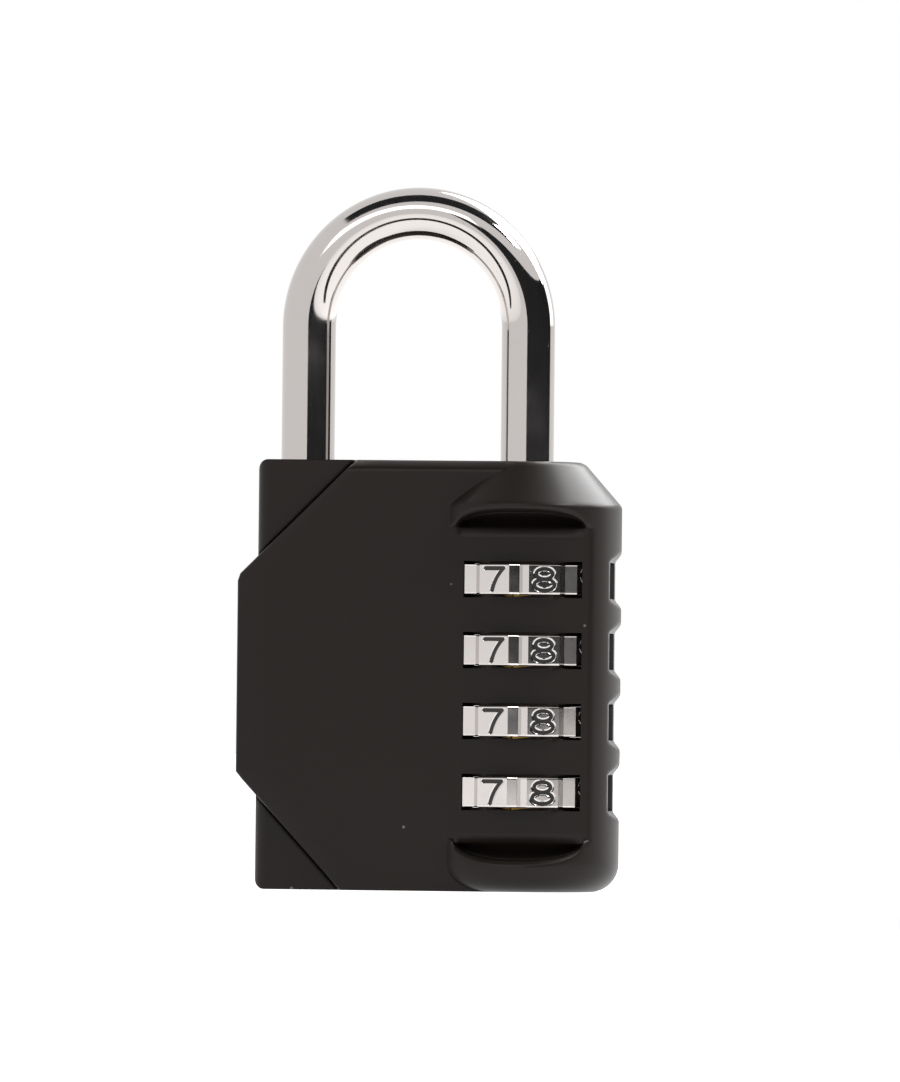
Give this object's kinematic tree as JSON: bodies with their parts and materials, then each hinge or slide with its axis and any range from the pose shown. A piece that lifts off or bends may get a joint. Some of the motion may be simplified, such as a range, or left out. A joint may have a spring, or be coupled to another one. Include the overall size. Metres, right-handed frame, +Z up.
{
  "type": "combination padlock",
  "caption": "Compact combination padlock with a black cast body, digit dials showing through windows in its rounded edge, and a round chromed U shackle.",
  "frame": {"origin": "middle of the base, on the plane that the lock stands on", "axes": "+X to the right towards the dials' rounded edge, +Y to the back, +Z up towards the shackle's crown"},
  "size_m": [0.044, 0.0222, 0.0817],
  "materials": {
    "black_shell": "satin black paint on zinc",
    "black_core": "satin black paint on zinc",
    "shackle_chrome": "polished chrome plate",
    "dial_chrome": "chrome plate with black filled digits",
    "brass": "turned brass",
    "steel": "plain pressed and turned steel",
    "spring_steel": "drawn spring wire"
  },
  "bodies": {
    "body": {"front_shell": "black_shell", "rear_shell": "black_shell", "core_block": "black_core", "shackle_spring": "spring_steel", "detent_spring": "steel", "detent_rivet_1": "steel", "detent_rivet_2": "steel", "assembly_pin_1": "steel", "assembly_pin_2": "steel", "assembly_pin_3": "steel", "assembly_pin_4": "steel", "dial_washer_1": "brass", "dial_washer_2": "brass", "dial_washer_3": "brass", "dial_washer_4": "brass"},
    "shackle": {"shackle": "shackle_chrome", "lift_yoke": "steel", "code_spindle": "steel", "spindle_nut": "steel"},
    "dial_1": {"dial_ring_1": "dial_chrome", "code_sleeve_1": "brass"},
    "dial_2": {"dial_ring_2": "dial_chrome", "code_sleeve_2": "brass"},
    "dial_3": {"dial_ring_3": "dial_chrome", "code_sleeve_3": "brass"},
    "dial_4": {"dial_ring_4": "dial_chrome", "code_sleeve_4": "brass"}
  },
  "joints": [
    {"name": "shackle_lift", "type": "slide", "parent": "body", "child": "shackle", "axis": [0, 0, 1], "range_m": [0, 0.0082], "deforming": ["shackle_spring"]},
    {"name": "dial_1_turn", "type": "hinge", "parent": "body", "child": "dial_1", "pos_m": [0.0109, 0, 0.0361], "axis": [0, 0, 1], "continuous": true},
    {"name": "dial_2_turn", "type": "hinge", "parent": "body", "child": "dial_2", "pos_m": [0.0109, 0, 0.0279], "axis": [0, 0, 1], "continuous": true},
    {"name": "dial_3_turn", "type": "hinge", "parent": "body", "child": "dial_3", "pos_m": [0.0109, 0, 0.0197], "axis": [0, 0, 1], "continuous": true},
    {"name": "dial_4_turn", "type": "hinge", "parent": "body", "child": "dial_4", "pos_m": [0.0109, 0, 0.0115], "axis": [0, 0, 1], "continuous": true}
  ]
}
